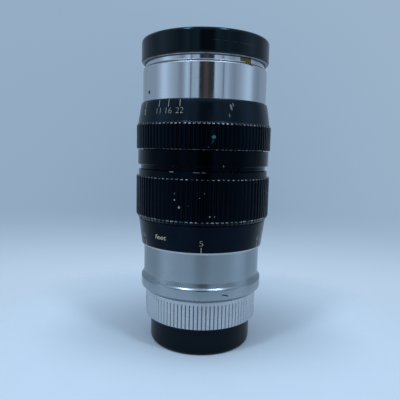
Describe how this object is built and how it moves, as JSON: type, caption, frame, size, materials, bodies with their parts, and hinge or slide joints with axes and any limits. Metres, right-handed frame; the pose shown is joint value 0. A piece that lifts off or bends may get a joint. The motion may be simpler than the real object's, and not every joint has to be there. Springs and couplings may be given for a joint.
{
  "type": "telephoto camera lens",
  "caption": "Short telephoto lens with screw mount, focusing ring, aperture ring with working iris, slip-on front cap and screw-on rear cap.",
  "frame": {"origin": "middle of the rear cap's underside, on which the lens stands", "axes": "+Z along the optical axis towards the subject; -Y is the side that shows 5 on the distance scale"},
  "size_m": [0.056, 0.056, 0.1249],
  "materials": {
    "cap_black": "satin black lacquer, lightly scratched",
    "chrome": "bright chrome plate",
    "satin_chrome": "satin chrome plate",
    "black_anodised": "semi-gloss black over aluminium, worn bright on edges",
    "matt_black": "matt anti-reflection black",
    "brass": "turned, greased",
    "aluminium": "turned",
    "steel": "blackened",
    "blade_steel": "blued, matt",
    "glass": "polished, blue-violet single coating"
  },
  "bodies": {
    "fixed_body": {"fixed_barrel": "satin_chrome", "mount_ring": "chrome", "mount_grub_screw_1": "steel", "mount_grub_screw_2": "steel", "focus_key": "brass", "key_screw_1": "steel", "key_screw_2": "steel"},
    "coupling_sleeve": {"coupling_sleeve": "brass"},
    "rear_cap": {"rear_cap": "cap_black"},
    "head": {"head_barrel": "aluminium", "thrust_nut": "brass", "head_collar": "black_anodised", "collar_screw_1": "steel", "collar_screw_2": "steel", "collar_screw_3": "steel", "iris_housing": "matt_black", "front_cell": "matt_black", "front_element": "glass", "front_retaining_ring": "matt_black", "second_element": "glass", "third_element": "glass", "middle_retaining_ring": "matt_black", "rear_cell": "matt_black", "rear_element": "glass", "rear_retaining_ring": "matt_black", "rear_baffle": "matt_black", "front_barrel": "chrome", "front_trim_ring": "matt_black"},
    "focus_ring": {"helicoid": "brass", "focus_grip": "black_anodised", "distance_ring": "black_anodised", "focus_screw_1": "steel", "focus_screw_2": "steel", "focus_screw_3": "steel"},
    "aperture_ring": {"aperture_ring": "black_anodised", "iris_ring": "brass", "iris_drive_screw": "steel"},
    "front_cap": {"front_cap": "cap_black"},
    "iris_blade_01": {"iris_blade_01": "blade_steel"},
    "iris_blade_02": {"iris_blade_02": "blade_steel"},
    "iris_blade_03": {"iris_blade_03": "blade_steel"},
    "iris_blade_04": {"iris_blade_04": "blade_steel"},
    "iris_blade_05": {"iris_blade_05": "blade_steel"},
    "iris_blade_06": {"iris_blade_06": "blade_steel"},
    "iris_blade_07": {"iris_blade_07": "blade_steel"},
    "iris_blade_08": {"iris_blade_08": "blade_steel"},
    "iris_blade_09": {"iris_blade_09": "blade_steel"},
    "iris_blade_10": {"iris_blade_10": "blade_steel"}
  },
  "joints": [
    {"name": "head_slide", "type": "slide", "parent": "fixed_body", "child": "head", "axis": [0, 0, 1], "range_m": [0, 0.01471]},
    {"name": "focus_turn", "type": "hinge", "parent": "head", "child": "focus_ring", "pos_m": [0, 0, 0.06], "axis": [0, 0, 1], "range_deg": [0, 301]},
    {"name": "aperture_turn", "type": "hinge", "parent": "head", "child": "aperture_ring", "pos_m": [0, 0, 0.09], "axis": [0, 0, 1], "range_deg": [-39.5, 47.5]},
    {"name": "sleeve_slide", "type": "slide", "parent": "fixed_body", "child": "coupling_sleeve", "axis": [0, 0, 1], "range_m": [0, 0.00183]},
    {"name": "front_cap_pull", "type": "slide", "parent": "head", "child": "front_cap", "axis": [0, 0, 1], "range_m": [0, 0.02]},
    {"name": "rear_cap_pull", "type": "slide", "parent": "rear_cap", "child": "fixed_body", "axis": [0, 0, 1], "range_m": [0, 0.02]},
    {"name": "iris_blade_01_swing", "type": "hinge", "parent": "head", "child": "iris_blade_01", "pos_m": [-0.01672, -0.01237, 0.0818], "axis": [0, 0, 1], "range_deg": [-14.93, 17.95]},
    {"name": "iris_blade_02_swing", "type": "hinge", "parent": "head", "child": "iris_blade_02", "pos_m": [-0.00625, -0.01984, 0.0821], "axis": [0, 0, 1], "range_deg": [-14.93, 17.95]},
    {"name": "iris_blade_03_swing", "type": "hinge", "parent": "head", "child": "iris_blade_03", "pos_m": [0.0066, -0.01972, 0.0824], "axis": [0, 0, 1], "range_deg": [-14.93, 17.95]},
    {"name": "iris_blade_04_swing", "type": "hinge", "parent": "head", "child": "iris_blade_04", "pos_m": [0.01693, -0.01208, 0.0827], "axis": [0, 0, 1], "range_deg": [-14.93, 17.95]},
    {"name": "iris_blade_05_swing", "type": "hinge", "parent": "head", "child": "iris_blade_05", "pos_m": [0.0208, 0.00018, 0.083], "axis": [0, 0, 1], "range_deg": [-14.93, 17.95]},
    {"name": "iris_blade_06_swing", "type": "hinge", "parent": "head", "child": "iris_blade_06", "pos_m": [0.01672, 0.01237, 0.0833], "axis": [0, 0, 1], "range_deg": [-14.93, 17.95]},
    {"name": "iris_blade_07_swing", "type": "hinge", "parent": "head", "child": "iris_blade_07", "pos_m": [0.00625, 0.01984, 0.0836], "axis": [0, 0, 1], "range_deg": [-14.93, 17.95]},
    {"name": "iris_blade_08_swing", "type": "hinge", "parent": "head", "child": "iris_blade_08", "pos_m": [-0.0066, 0.01972, 0.0839], "axis": [0, 0, 1], "range_deg": [-14.93, 17.95]},
    {"name": "iris_blade_09_swing", "type": "hinge", "parent": "head", "child": "iris_blade_09", "pos_m": [-0.01693, 0.01208, 0.0842], "axis": [0, 0, 1], "range_deg": [-14.93, 17.95]},
    {"name": "iris_blade_10_swing", "type": "hinge", "parent": "head", "child": "iris_blade_10", "pos_m": [-0.0208, -0.00018, 0.0845], "axis": [0, 0, 1], "range_deg": [-14.93, 17.95]}
  ],
  "couplings": [
    {"joint": "head_slide", "follows": "focus_turn", "m_per_rad": 0.0028},
    {"joint": "sleeve_slide", "follows": "focus_turn", "m_per_rad": 0.000348},
    {"joint": "iris_blade_01_swing", "follows": "aperture_turn", "ratio": 0.37782},
    {"joint": "iris_blade_02_swing", "follows": "aperture_turn", "ratio": 0.37782},
    {"joint": "iris_blade_03_swing", "follows": "aperture_turn", "ratio": 0.37782},
    {"joint": "iris_blade_04_swing", "follows": "aperture_turn", "ratio": 0.37782},
    {"joint": "iris_blade_05_swing", "follows": "aperture_turn", "ratio": 0.37782},
    {"joint": "iris_blade_06_swing", "follows": "aperture_turn", "ratio": 0.37782},
    {"joint": "iris_blade_07_swing", "follows": "aperture_turn", "ratio": 0.37782},
    {"joint": "iris_blade_08_swing", "follows": "aperture_turn", "ratio": 0.37782},
    {"joint": "iris_blade_09_swing", "follows": "aperture_turn", "ratio": 0.37782},
    {"joint": "iris_blade_10_swing", "follows": "aperture_turn", "ratio": 0.37782}
  ]
}
